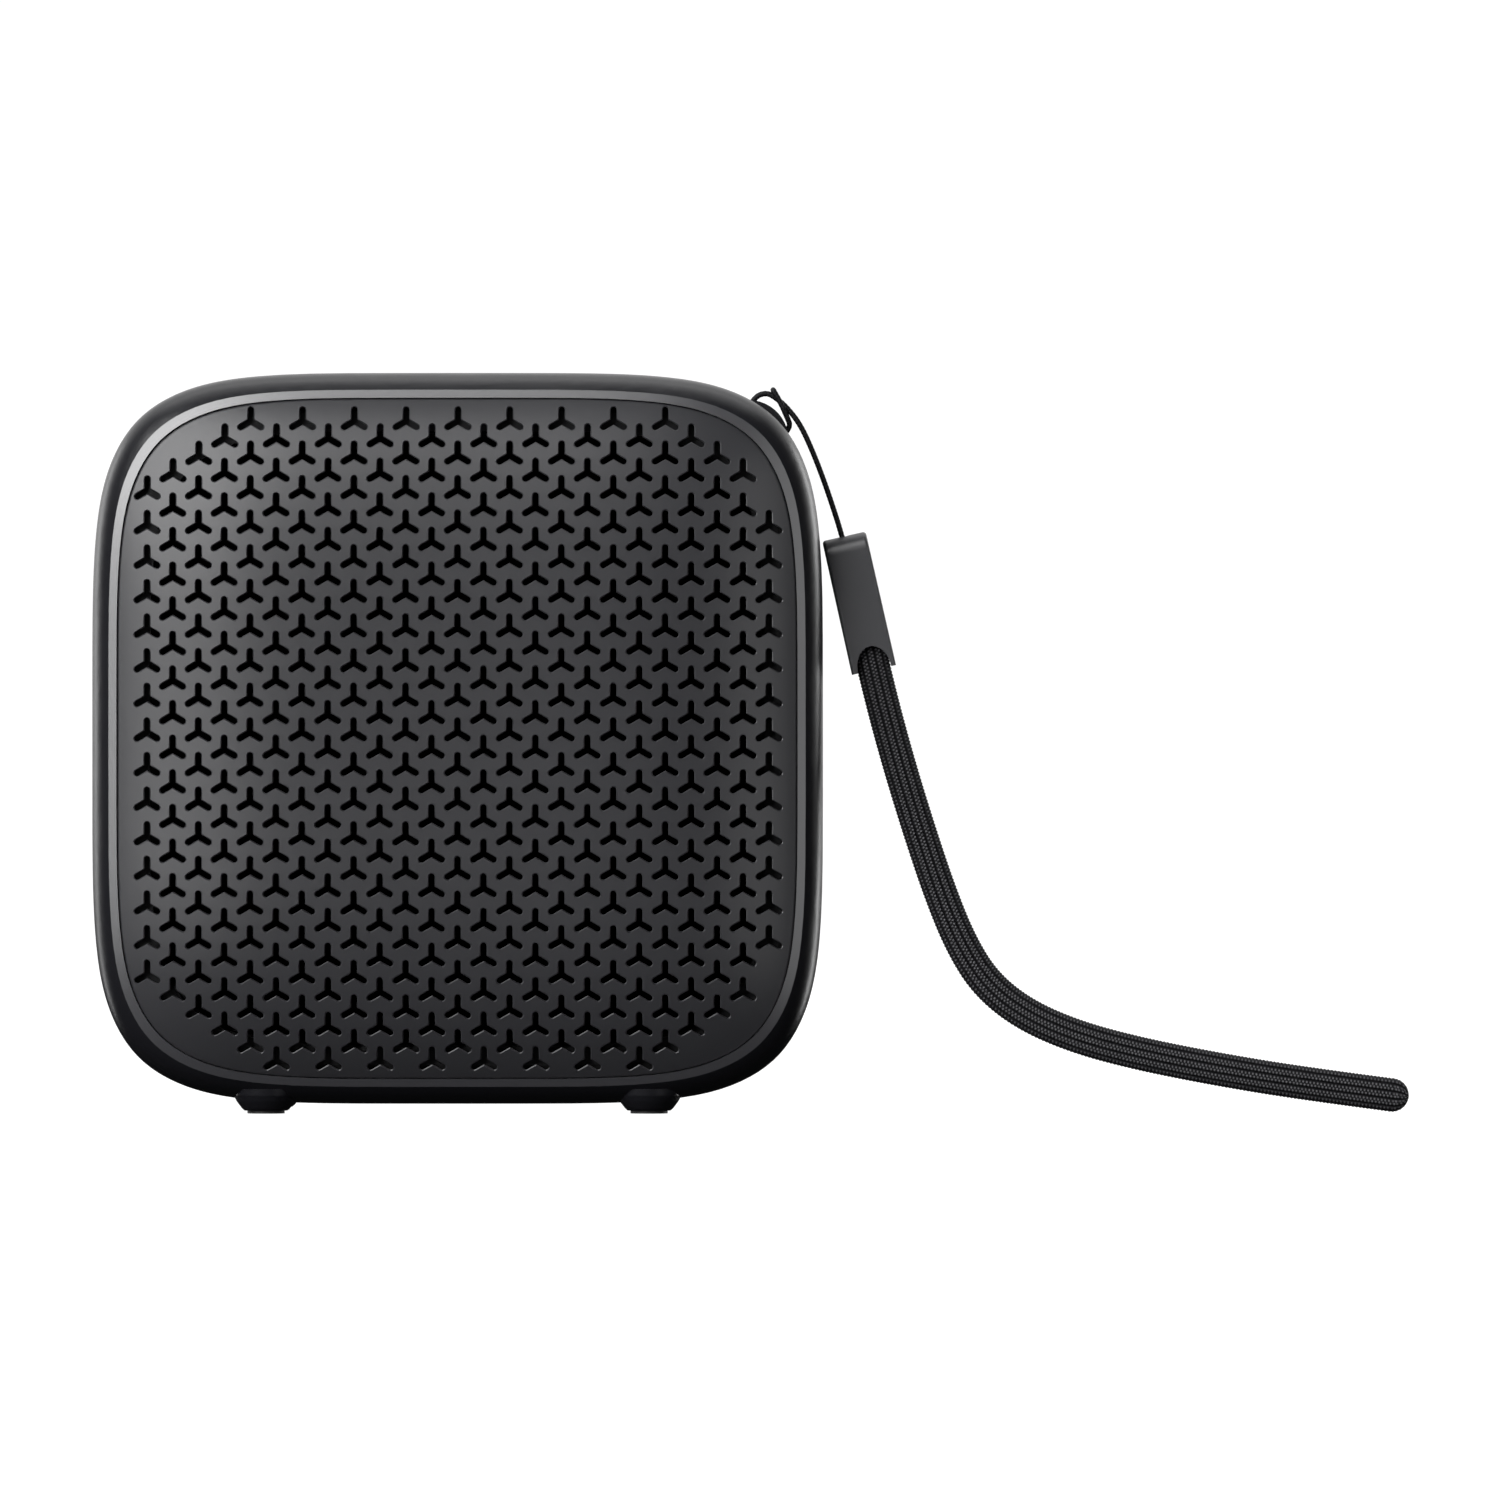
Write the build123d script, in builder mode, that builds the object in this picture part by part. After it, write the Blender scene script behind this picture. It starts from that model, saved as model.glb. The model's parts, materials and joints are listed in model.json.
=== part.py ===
from build123d import *
import os
from math import cos, pi, radians, sin, tan

os.makedirs("parts", exist_ok=True)

# Pocket-size portable speaker. Millimetres, +Z up, -Y is the grille side.
# The origin is on the table, under the middle of the body.

# ---- body outline: a superellipse across Y, swept through the depth
BODY_HALF = 50.0
EXPONENT = 5.1
FOOT_LIFT = 1.3
MID_Z = FOOT_LIFT + BODY_HALF
OUTLINE_POINTS = 48

# ---- front and rear rims: a narrow sloping band, then a crease and a round edge
RIM_HALF = 46.5
RIM_Y = 17.8
BAND_TILT = 20.0
BAND_HALF = 47.6
EDGE_ANGLES = (40, 50, 60, 70, 80, 90)
EDGE_RADIUS = (BODY_HALF - BAND_HALF) / (1 - sin(radians(EDGE_ANGLES[0])))
BAND_Y = RIM_Y - (BAND_HALF - RIM_HALF) * tan(radians(BAND_TILT))
SIDE_Y = BAND_Y - EDGE_RADIUS * cos(radians(EDGE_ANGLES[0]))

# ---- hollow of the body
CAVITY_HALF = 47.8
LEDGE_HALF = 42.0
REAR_MOUTH_HALF = 45.0
POCKET_Y = 15.4
LEDGE_Y = 13.2
POST_AT = 36.4
POST_RADIUS = 3.6
SCREW_HOLE = 1.3
POST_HOLE_Y = 4.5
RIB_AT = 40.2
RIB_SIZE = (5.6, 2.4)
REAR_LEDGE_Y = 15.2
CORNERS = ((-1, -1), (-1, 1), (1, -1), (1, 1))

# ---- pillowed panels, front and rear
PANEL_HALF = 46.42
PANEL_FACE_Y = 23.0
PANEL_EDGE_Y = 15.6
PANEL_RISE = 5.5
PANEL_POWER = 5
INNER_HALF = 44.7
INNER_FACE_Y = 21.3
INNER_SPHERE = 286.0
MESH_HALF = 41.6
MESH_SPHERES = (285.85, 285.5)
PANEL_STEPS = (1.0, 0.968, 0.93, 0.875, 0.81, 0.724, 0.616, 0.475, 0.302)

# ---- driver, on the Y axis through the middle of the body
FLANGE_RADIUS = 28.6
FLANGE_Y = -14.8
EAR_AT = 30.8 / 2 ** 0.5
EAR_RADIUS = 2.9
BAFFLE_HOLE = 26.0
BAFFLE_HALF = 44.8
NOTCH_AT = 39.4
NOTCH_RADIUS = 8.2
BAFFLE_BACK_Y = -10.8
BAFFLE_BOSS = 2.6
BAFFLE_BOSS_Y = -6.8
GASKET = 0.4
RADIAL = Plane(origin=(0, 0, MID_Z), x_dir=(1, 0, 0), z_dir=(0, 0, 1))
DRIVER_AXIS = Axis((0, 0, MID_Z), (0, 1, 0))
POLE_RADIUS = 7.5
COIL_INNER = 7.8
COIL_OUTER = 8.05
GAP_RADIUS = 8.35
MAGNET_RADIUS = 18.5
BASKET_LOW_Y = -2.3
BASKET_WINDOW = (11.0, 4.6, 27.0)
BASKET_WINDOW_Y = -9.0
CLEAR_HOLE = 1.4
PLATE_BACK_Y = 0.7
MAGNET_BACK_Y = 8.7
YOKE_BACK_Y = 11.5
DRIVER_SCREW = 1.25
CAP_SPHERE = 14.25
CAP_TOP_Y = 11.3

# ---- passive radiator in the rear cover
RADIATOR_MOUTH = 26.5
RADIATOR_SEAT_Y = 19.9
RADIATOR_FRAME_OUTER = 29.5
RADIATOR_FRAME_INNER = 24.5
RADIATOR_PLATE = 18.0
RADIATOR_RING = 31.0
COVER_SCREW_SEAT_Y = 17.0
COVER_BOSS = 3.8
COVER_COUNTERBORE = 2.9
OUTSIDE_Y = 25.0

# ---- buttons along the top
BUTTON_PITCH = 13.0
BUTTON_X = [BUTTON_PITCH * (place - 1.5) for place in range(4)]
LIGHT_Y = -6.5
LIGHT_RADIUS = 0.8
BOSS_Y = 4.8
WALL_INTO_Z = 99.6
BOARD_SCREW = 0.9
PILOT_DEPTH = 3.4
BUTTON_RADIUS = 4.2
BUTTON_GAP = 0.25
BUTTON_FLANGE = 5.0
FLANGE_TOP_Z = 98.6
FLANGE_UNDER_Z = 97.9
STEM_END_Z = 97.2
ICON_DEPTH = 0.3
BUTTON_BOARD_Z = 94.7
BUTTON_BOARD_TOP = 95.5
SWITCH_TOP_Z = 96.4

# ---- socket and its rubber cover in the right side
PORT_Y = 6.0
PORT_Z = 37.2
FLAP_WIDTH = 9.0
FLAP_LOW_Z = 30.7
HINGE_Z = 42.4
ANCHOR_TOP_Z = 44.6
FLAP_BACK_X = 48.75
FLAP_GAP = 0.2
FLAP_CORNER = 0.9
TAB_Z = 43.45
SCOOP_RADIUS = 4.0
SCOOP_DEPTH = 0.5
SCOOP_WIDTH = 7.0
BOARD_X = 38.4
BOARD_THICK = 1.2
BOARD_BOSS_Y = -3.0
BOARD_BOSS_Z = (27.5, 58.5)
WALL_INTO_X = 48.4
# chips on the board: depth, side, and place in y and z
CHIPS = ((1.0, 7.0, 4.5, 44.0), (0.9, 5.0, 6.0, 34.0), (2.4, 4.4, 7.5, 54.0), (1.6, 3.0, 0.5, 51.5))

# ---- battery under the driver
CELL_RADIUS = 9.1
CELL_LENGTH = 65.0
CELL_Y = 2.0
CELL_Z = 14.4

# ---- feet
FOOT_X = 26.2
FOOT_Y = 12.8
PAD_RADIUS = 2.55
PAD_HEIGHT = 0.4
FOOT_PROFILE = (
    (0, 0.4), (2.95, 0.4), (3.3, 0.7), (3.65, 1.15), (4.05, 1.7), (4.45, 2.5), (4.6, 3.4), (0, 3.4),
)

# ---- wrist strap, in the plane y = STRAP_Y, as (x, z)
STRAP_Y = -5.0
STRING_DIAMETER = 0.8
HOLE_RADIUS = 1.15
HOLE_MOUTHS = ((40.4, 97.7), (45.3, 93.3))
HOLE_INSETS = ((38.95, 95.0), (42.5, 91.5))
EYE_CENTRE = (39.8, 92.2)
EYE_RADIUS = 5.5
EYE_WIDTH = 4.4
CLIP_CENTRE = (54.95, 69.85)
CLIP_TILT = 12.7
CLIP_LENGTH = 18.8
CLIP_TOP_WIDTH = 6.1
CLIP_LOW_WIDTH = 6.2
CLIP_THICK = 5.4
CLIP_CROWN = 2.2
CLIP_ROUND = 0.45
STRING_HOLE_RADIUS = 1.0
ARCH_HEIGHT = 3.3
CRIMP_TOP = 3.5
CRIMP_LOW = -0.5
BAND_WIDTH = 4.6
BAND_THICK = 2.8
BAND_ROUND = 0.9
STRING_ROUTE = (
    (54.22, 73.07), (52.6, 79.2), (51.4, 83.0), (50.1, 86.8), (48.6, 90.7), (46.9, 94.4), (45.0, 96.8),
    (43.4, 98.15), (42.2, 98.75), (40.6, 98.15), (38.95, 95.0), (42.5, 91.5), (45.75, 93.8), (44.9, 95.8),
    (44.25, 97.3), (43.3, 98.9),
)
STRING_ASIDE = (0,) * 11 + (-0.1, -0.4, -0.85, -0.85, -0.85)
BAND_ROUTE = (
    (55.1, 69.17), (57.2, 59.85), (60.0, 49.2), (63.2, 38.7), (66.3, 29.5), (69.1, 22.8), (72.4, 17.6),
    (77.5, 13.5), (84.5, 10.4), (93.0, 8.1), (103.5, 6.0), (115.5, 4.0), (128.1, 2.36),
)


def outline(half):
    """Points of the superellipse of the given half-size."""
    points = []
    for step in range(OUTLINE_POINTS):
        angle = 2 * pi * step / OUTLINE_POINTS
        norm = abs(cos(angle)) ** EXPONENT + abs(sin(angle)) ** EXPONENT
        radius = half / norm ** (1 / EXPONENT)
        points.append((radius * cos(angle), radius * sin(angle)))
    return points


def across(y):
    """Plane across the depth at y, with its x to the right and its y up, seen from the front."""
    return Plane(origin=(0, y, MID_Z), x_dir=(1, 0, 0), z_dir=(0, -1, 0))


def section(half, y):
    """Face of the body's outline at depth y."""
    with BuildSketch(across(y)) as sketch:
        with BuildLine():
            Spline(*outline(half), periodic=True)
        make_face()
    return sketch.sketch.faces()[0]


def prism(half, y_front, y_back, mode=Mode.ADD):
    """Straight length of the body's outline, from y_front back to y_back, in the open part."""
    extrude(to_extrude=section(half, y_back), amount=y_back - y_front, mode=mode)


def disc(radius, y_front, y_back, mode=Mode.ADD, hole=0.0, x=0.0, z=0.0):
    """Round plate or ring about an axis along Y, in the open part."""
    with BuildSketch(across(y_back)) as sketch:
        with Locations((x, z)):
            Circle(radius)
            if hole:
                Circle(hole, mode=Mode.SUBTRACT)
    extrude(to_extrude=sketch.sketch, amount=y_back - y_front, mode=mode)


def pillow(face_y, half, rise, side, mode=Mode.ADD):
    """Crowned block that rises from its edge to face_y; side is -1 at the front, 1 at the rear."""
    steps = [(half * step, side * (face_y - rise * step ** PANEL_POWER)) for step in PANEL_STEPS]
    loft(sections=[section(size, y) for size, y in steps], mode=mode)


def panel(side):
    """One crowned cover panel: pillow and rim, less a shallow domed hollow behind it."""
    pillow(PANEL_FACE_Y, PANEL_HALF, PANEL_RISE, side)
    near, far = sorted((side * (PANEL_FACE_Y - PANEL_RISE), side * PANEL_EDGE_Y))
    prism(PANEL_HALF, near, far)
    add(hollow.part if side < 0 else hollow.part.mirror(Plane.XZ), mode=Mode.SUBTRACT)


def bore(start, end, outward=0.0):
    """Round hole in the strap's plane from start to end, run on outward past its start."""
    run = Vector(end[0] - start[0], 0, end[1] - start[1])
    mouth = Vector(start[0], STRAP_Y, start[1]) - run.normalized() * outward
    with BuildSketch(Plane(origin=mouth, z_dir=run)) as hole:
        Circle(HOLE_RADIUS)
    extrude(to_extrude=hole.sketch, amount=run.length + outward, mode=Mode.SUBTRACT)
    with Locations((end[0], STRAP_Y, end[1])):
        Sphere(HOLE_RADIUS, mode=Mode.SUBTRACT)


def corner_radii(points):
    """Radius of each corner's arc: as large as its two runs allow."""
    radii = []
    for before, corner, after in zip(points, points[1:], points[2:]):
        run_in = Vector(*corner) - Vector(*before)
        run_out = Vector(*after) - Vector(*corner)
        turn = radians(run_in.get_angle(run_out))
        radii.append(0.45 * min(run_in.length, run_out.length) / tan(turn / 2))
    return radii


def screws(places, head_radius, head_length, shank_radius, shank_length):
    """A group of equal screws; each plane in places points from the seat out through the head."""
    for place in places:
        with BuildSketch(place) as head:
            Circle(head_radius)
        extrude(to_extrude=head.sketch, amount=head_length)
        with BuildSketch(place.offset(head_length / 2)) as cross:
            Rectangle(head_radius, head_radius / 4)
            Rectangle(head_radius / 4, head_radius)
        extrude(to_extrude=cross.sketch, amount=head_length, mode=Mode.SUBTRACT)
        with BuildSketch(place) as shank:
            Circle(shank_radius)
        extrude(to_extrude=shank.sketch, amount=-shank_length)


def corner_seats(away, y, side):
    """Seats of four screws about the Y axis, facing the front (side -1) or the rear (side 1)."""
    seats = []
    for side_x, side_z in CORNERS:
        seat = (side_x * away, y, MID_Z + side_z * away)
        seats.append(Plane(origin=seat, x_dir=(1, 0, 0), z_dir=(0, side, 0)))
    return seats


def save(piece, label):
    """Name a finished piece and write its STEP file."""
    piece.part.label = label
    export_step(piece.part, f"parts/{label}.step")


def turned(points):
    """Ring or disc turned about the driver's axis, from (radius, y) corners."""
    with BuildSketch(RADIAL) as profile:
        with BuildLine():
            Polyline(*points, close=True)
        make_face()
    revolve(profiles=profile.sketch, axis=DRIVER_AXIS)


# ---------------------------------------------------------------- shapes that several pieces share
with BuildPart() as hollow:
    with Locations((0, INNER_SPHERE - INNER_FACE_Y, MID_Z)):
        Sphere(INNER_SPHERE)
    extrude(to_extrude=section(INNER_HALF, -PANEL_EDGE_Y), amount=10, mode=Mode.INTERSECT)

with BuildPart() as body_form:
    prism(BODY_HALF, -SIDE_Y, SIDE_Y)
    for end in (-1, 1):
        edge_sections = []
        for angle in EDGE_ANGLES:
            half_size = BODY_HALF - EDGE_RADIUS * (1 - sin(radians(angle)))
            depth = SIDE_Y + EDGE_RADIUS * cos(radians(angle))
            edge_sections.append(section(half_size, end * depth))
        loft(sections=edge_sections)
        loft(sections=[section(BAND_HALF, end * BAND_Y), section(RIM_HALF, end * RIM_Y)])

# ---------------------------------------------------------------- body shell
with BuildPart() as body_shell:
    add(body_form.part)
    prism(CAVITY_HALF, -LEDGE_Y, LEDGE_Y, mode=Mode.SUBTRACT)
    prism(LEDGE_HALF, -POCKET_Y, -LEDGE_Y, mode=Mode.SUBTRACT)
    prism(RIM_HALF, -RIM_Y, -POCKET_Y, mode=Mode.SUBTRACT)
    prism(REAR_MOUTH_HALF, LEDGE_Y, REAR_LEDGE_Y, mode=Mode.SUBTRACT)
    prism(RIM_HALF, REAR_LEDGE_Y, RIM_Y, mode=Mode.SUBTRACT)
    # screw posts in the corners, each tied to the wall by a rib
    for side_x, side_z in CORNERS:
        post = {"x": side_x * POST_AT, "z": side_z * POST_AT}
        disc(POST_RADIUS, -LEDGE_Y, REAR_LEDGE_Y, **post)
        with BuildSketch(across(LEDGE_Y)) as rib:
            with Locations(Location((side_x * RIB_AT, side_z * RIB_AT), 45 * side_x * side_z)):
                Rectangle(*RIB_SIZE)
        extrude(to_extrude=rib.sketch, amount=2 * LEDGE_Y)
        disc(SCREW_HOLE, POST_HOLE_Y, REAR_LEDGE_Y, mode=Mode.SUBTRACT, **post)
    # four moulded feet, flared into the underside
    for side_x in (-1, 1):
        for side_y in (-1, 1):
            centre_x = side_x * FOOT_X
            with BuildSketch(Plane.XZ.offset(-side_y * FOOT_Y)) as foot:
                with BuildLine():
                    Polyline(*[(centre_x + radius, z) for radius, z in FOOT_PROFILE], close=True)
                make_face()
            revolve(profiles=foot.sketch, axis=Axis((centre_x, side_y * FOOT_Y, 0), (0, 0, 1)))
    # solid corner around the strap's eye
    with BuildSketch(across(STRAP_Y + EYE_WIDTH / 2)) as eye:
        with Locations((EYE_CENTRE[0], EYE_CENTRE[1] - MID_Z)):
            Circle(EYE_RADIUS)
    extrude(to_extrude=eye.sketch, amount=EYE_WIDTH)
    # bosses for the two circuit boards
    for boss_x in (-BUTTON_PITCH, BUTTON_PITCH):
        with BuildSketch(Plane.XY.offset(BUTTON_BOARD_TOP)) as boss:
            with Locations((boss_x, BOSS_Y)):
                Circle(1.9)
        extrude(to_extrude=boss.sketch, amount=WALL_INTO_Z - BUTTON_BOARD_TOP)
    for boss_z in BOARD_BOSS_Z:
        with BuildSketch(Plane.YZ.offset(BOARD_X + BOARD_THICK)) as boss:
            with Locations((BOARD_BOSS_Y, boss_z)):
                Circle(2.2)
        extrude(to_extrude=boss.sketch, amount=WALL_INTO_X - BOARD_X - BOARD_THICK)
    # pilot holes in the bosses
    for boss_x in (-BUTTON_PITCH, BUTTON_PITCH):
        with BuildSketch(Plane.XY.offset(BUTTON_BOARD_TOP)) as pilot:
            with Locations((boss_x, BOSS_Y)):
                Circle(BOARD_SCREW)
        extrude(to_extrude=pilot.sketch, amount=PILOT_DEPTH, mode=Mode.SUBTRACT)
    for boss_z in BOARD_BOSS_Z:
        with BuildSketch(Plane.YZ.offset(BOARD_X + BOARD_THICK)) as pilot:
            with Locations((BOARD_BOSS_Y, boss_z)):
                Circle(BOARD_SCREW)
        extrude(to_extrude=pilot.sketch, amount=PILOT_DEPTH, mode=Mode.SUBTRACT)
    # windows for the buttons and the light pipe
    with BuildSketch(Plane.XY.offset(BUTTON_BOARD_TOP)) as windows:
        with Locations(*[(x, 0) for x in BUTTON_X]):
            Circle(BUTTON_RADIUS + BUTTON_GAP)
        with Locations((0, LIGHT_Y)):
            Circle(LIGHT_RADIUS)
    extrude(to_extrude=windows.sketch, amount=10, mode=Mode.SUBTRACT)
    # recess for the socket cover, the socket's mouth and a scoop for a fingernail
    with BuildSketch(Plane.YZ.offset(FLAP_BACK_X)) as recess:
        with Locations((PORT_Y, (FLAP_LOW_Z + ANCHOR_TOP_Z) / 2)):
            RectangleRounded(FLAP_WIDTH, ANCHOR_TOP_Z - FLAP_LOW_Z, FLAP_CORNER)
    extrude(to_extrude=recess.sketch, amount=3, mode=Mode.SUBTRACT)
    with BuildSketch(Plane.YZ.offset(CAVITY_HALF - 1)) as mouth:
        with Locations((PORT_Y, PORT_Z)):
            SlotOverall(10.0, 4.2, rotation=90)
    extrude(to_extrude=mouth.sketch, amount=3, mode=Mode.SUBTRACT)
    with BuildSketch(Plane.XZ.offset(-PORT_Y - SCOOP_WIDTH / 2)) as scoop:
        with Locations((BODY_HALF + SCOOP_RADIUS - SCOOP_DEPTH, FLAP_LOW_Z)):
            Circle(SCOOP_RADIUS)
    extrude(to_extrude=scoop.sketch, amount=SCOOP_WIDTH, mode=Mode.SUBTRACT)
    # the eye: two holes in from the corner, joined behind a bridge
    for mouth_at, inset in zip(HOLE_MOUTHS, HOLE_INSETS):
        bore(mouth_at, inset, outward=3.0)
    bore(HOLE_INSETS[0], HOLE_INSETS[1])
    # hole for the stem of the socket cover's tab
    with BuildSketch(Plane.YZ.offset(CAVITY_HALF - 1)) as stem_hole:
        with Locations((PORT_Y, TAB_Z)):
            Circle(1.0)
    extrude(to_extrude=stem_hole.sketch, amount=3, mode=Mode.SUBTRACT)

save(body_shell, "body_shell")

# ---------------------------------------------------------------- grille and what is behind it
with BuildPart() as front_grille:
    panel(-1)
save(front_grille, "front_grille")

with BuildPart() as grille_mesh:
    with Locations((0, INNER_SPHERE - INNER_FACE_Y, MID_Z)):
        Sphere(MESH_SPHERES[0])
        Sphere(MESH_SPHERES[1], mode=Mode.SUBTRACT)
    prism(MESH_HALF, -PANEL_FACE_Y, -PANEL_EDGE_Y, mode=Mode.INTERSECT)
save(grille_mesh, "grille_mesh")

with BuildPart() as grille_tape:
    prism(PANEL_HALF - 0.1, -PANEL_EDGE_Y, -POCKET_Y)
    prism(INNER_HALF, -PANEL_EDGE_Y, -POCKET_Y, mode=Mode.SUBTRACT)
save(grille_tape, "grille_tape")

with BuildPart() as front_baffle:
    prism(BAFFLE_HALF, -LEDGE_Y, BAFFLE_BACK_Y)
    disc(BAFFLE_HOLE, -LEDGE_Y, BAFFLE_BACK_Y, mode=Mode.SUBTRACT)
    disc(FLANGE_RADIUS + 0.2, -LEDGE_Y, -LEDGE_Y + GASKET, mode=Mode.SUBTRACT)
    for side_x, side_z in CORNERS:
        ear = {"x": side_x * EAR_AT, "z": side_z * EAR_AT}
        notch = {"x": side_x * NOTCH_AT, "z": side_z * NOTCH_AT}
        disc(BAFFLE_BOSS, BAFFLE_BACK_Y, BAFFLE_BOSS_Y, **ear)
        disc(DRIVER_SCREW, -LEDGE_Y, BAFFLE_BOSS_Y, mode=Mode.SUBTRACT, **ear)
        disc(NOTCH_RADIUS, -LEDGE_Y, BAFFLE_BACK_Y, mode=Mode.SUBTRACT, **notch)
save(front_baffle, "front_baffle")

# ---------------------------------------------------------------- driver
with BuildPart() as driver_gasket:
    disc(28.4, -LEDGE_Y, -LEDGE_Y + GASKET, hole=26.2)
save(driver_gasket, "driver_gasket")

with BuildPart() as driver_basket:
    disc(FLANGE_RADIUS, FLANGE_Y, -LEDGE_Y, hole=24.2)
    turned((
        (24.2, -13.9), (25.6, -13.3), (18.6, -4.8), (18.6, BASKET_LOW_Y), (15.0, BASKET_LOW_Y), (15.0, -5.0),
        (17.4, -5.0),
    ))
    for side_x, side_z in CORNERS:
        ear = {"x": side_x * EAR_AT, "z": side_z * EAR_AT}
        disc(EAR_RADIUS, FLANGE_Y, -LEDGE_Y, **ear)
        disc(CLEAR_HOLE, FLANGE_Y, -LEDGE_Y, mode=Mode.SUBTRACT, **ear)
    for window in range(6):
        with Locations(Location((0, BASKET_WINDOW_Y, MID_Z), (0, 60 * window, 0))):
            Box(*BASKET_WINDOW, align=(Align.CENTER, Align.CENTER, Align.MIN), mode=Mode.SUBTRACT)
save(driver_basket, "driver_basket")

with BuildPart() as driver_top_plate:
    disc(16.0, BASKET_LOW_Y, PLATE_BACK_Y, hole=GAP_RADIUS)
save(driver_top_plate, "driver_top_plate")

with BuildPart() as driver_magnet:
    disc(MAGNET_RADIUS, PLATE_BACK_Y, MAGNET_BACK_Y, hole=10.0)
save(driver_magnet, "driver_magnet")

with BuildPart() as driver_yoke:
    disc(17.0, MAGNET_BACK_Y, YOKE_BACK_Y)
    disc(POLE_RADIUS, BASKET_LOW_Y, MAGNET_BACK_Y)
save(driver_yoke, "driver_yoke")

with BuildPart() as voice_coil:
    disc(COIL_OUTER, -8.1, 2.6, hole=COIL_INNER)
save(voice_coil, "voice_coil")

with BuildPart() as driver_spider:
    turned((
        (8.15, -5.5), (9.5, -5.5), (10.5, -6.1), (11.5, -5.5), (12.5, -6.1), (13.5, -5.5), (17.2, -5.5),
        (17.2, -5.0), (13.5, -5.0), (12.5, -5.6), (11.5, -5.0), (10.5, -5.6), (9.5, -5.0), (8.15, -5.0),
    ))
save(driver_spider, "driver_spider")

with BuildPart() as driver_cone:
    turned(((8.1, -7.6), (21.6, -14.2), (22.6, -14.2), (22.6, -13.7), (21.7, -13.7), (8.1, -7.05)))
save(driver_cone, "driver_cone")

with BuildPart() as driver_dust_cap:
    with Locations((0, CAP_SPHERE - CAP_TOP_Y, MID_Z)):
        Sphere(CAP_SPHERE)
        Sphere(CAP_SPHERE - 0.4, mode=Mode.SUBTRACT)
    disc(CAP_SPHERE, -CAP_SPHERE, -8.1, mode=Mode.INTERSECT)
save(driver_dust_cap, "driver_dust_cap")

with BuildPart() as driver_surround:
    with BuildSketch(RADIAL):
        with BuildLine():
            Polyline((22.8, -14.2), (21.7, -14.2), (21.7, -14.6), (22.4, -14.6))
            ThreePointArc((22.4, -14.6), (23.9, -17.0), (25.4, -15.2))
            Polyline((25.4, -15.2), (27.4, -15.2), (27.4, -14.8), (25.0, -14.8))
            ThreePointArc((25.0, -14.8), (23.9, -16.5), (22.8, -14.2))
        make_face()
    revolve(axis=DRIVER_AXIS)
save(driver_surround, "driver_surround")

with BuildPart() as driver_screws:
    screws(corner_seats(EAR_AT, FLANGE_Y, -1), 2.5, 1.5, DRIVER_SCREW, 7.0)
save(driver_screws, "driver_screws")

# ---------------------------------------------------------------- rear cover and passive radiator
with BuildPart() as rear_gasket:
    prism(REAR_MOUTH_HALF + 1.2, REAR_LEDGE_Y, PANEL_EDGE_Y)
    prism(REAR_MOUTH_HALF + 0.1, REAR_LEDGE_Y, PANEL_EDGE_Y, mode=Mode.SUBTRACT)
save(rear_gasket, "rear_gasket")

with BuildPart() as rear_cover:
    panel(1)
    disc(RADIATOR_RING, RADIATOR_SEAT_Y, INNER_FACE_Y)
    disc(RADIATOR_MOUTH, PANEL_EDGE_Y, OUTSIDE_Y, mode=Mode.SUBTRACT)
    disc(RADIATOR_FRAME_OUTER + 0.2, PANEL_EDGE_Y, RADIATOR_SEAT_Y, mode=Mode.SUBTRACT)
    for side_x, side_z in CORNERS:
        post = {"x": side_x * POST_AT, "z": side_z * POST_AT}
        disc(COVER_BOSS, REAR_LEDGE_Y, PANEL_FACE_Y - PANEL_RISE, **post)
        disc(COVER_COUNTERBORE, COVER_SCREW_SEAT_Y, OUTSIDE_Y, mode=Mode.SUBTRACT, **post)
        disc(CLEAR_HOLE, REAR_LEDGE_Y, COVER_SCREW_SEAT_Y, mode=Mode.SUBTRACT, **post)
save(rear_cover, "rear_cover")

with BuildPart() as rear_screws:
    screws(corner_seats(POST_AT, COVER_SCREW_SEAT_Y, 1), 2.6, 1.6, SCREW_HOLE, 11.0)
save(rear_screws, "rear_screws")

with BuildPart() as radiator_frame:
    disc(RADIATOR_FRAME_OUTER, 18.3, RADIATOR_SEAT_Y, hole=RADIATOR_FRAME_INNER)
save(radiator_frame, "radiator_frame")

with BuildPart() as radiator_surround:
    with BuildSketch(RADIAL):
        with BuildLine():
            Polyline((18.6, 19.9), (16.4, 19.9), (16.4, 20.4), (18.2, 20.4))
            ThreePointArc((18.2, 20.4), (21.45, 22.5), (24.7, 20.4))
            Polyline((24.7, 20.4), (26.3, 20.4), (26.3, 19.9), (24.3, 19.9))
            ThreePointArc((24.3, 19.9), (21.45, 21.9), (18.6, 19.9))
        make_face()
    revolve(axis=DRIVER_AXIS)
save(radiator_surround, "radiator_surround")

with BuildPart() as radiator_plate:
    disc(RADIATOR_PLATE, 18.9, 19.9)
    disc(16.2, 19.9, 20.9)
    chamfer(radiator_plate.faces().sort_by(Axis.Y)[-1].edges(), 0.5)
save(radiator_plate, "radiator_plate")

# ---------------------------------------------------------------- electronics
with BuildPart() as main_board:
    with BuildSketch(Plane.YZ.offset(BOARD_X)):
        with Locations((3, 43)):
            RectangleRounded(18, 38, 1.5)
        with Locations(*[(BOARD_BOSS_Y, boss_z) for boss_z in BOARD_BOSS_Z]):
            Circle(BOARD_SCREW + 0.2, mode=Mode.SUBTRACT)
    extrude(amount=BOARD_THICK)
save(main_board, "main_board")

with BuildPart() as board_chips:
    for depth, size, y, z in CHIPS:
        with Locations((BOARD_X, y, z)):
            Box(depth, size, size, align=(Align.MAX, Align.CENTER, Align.CENTER))
save(board_chips, "board_chips")

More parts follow.
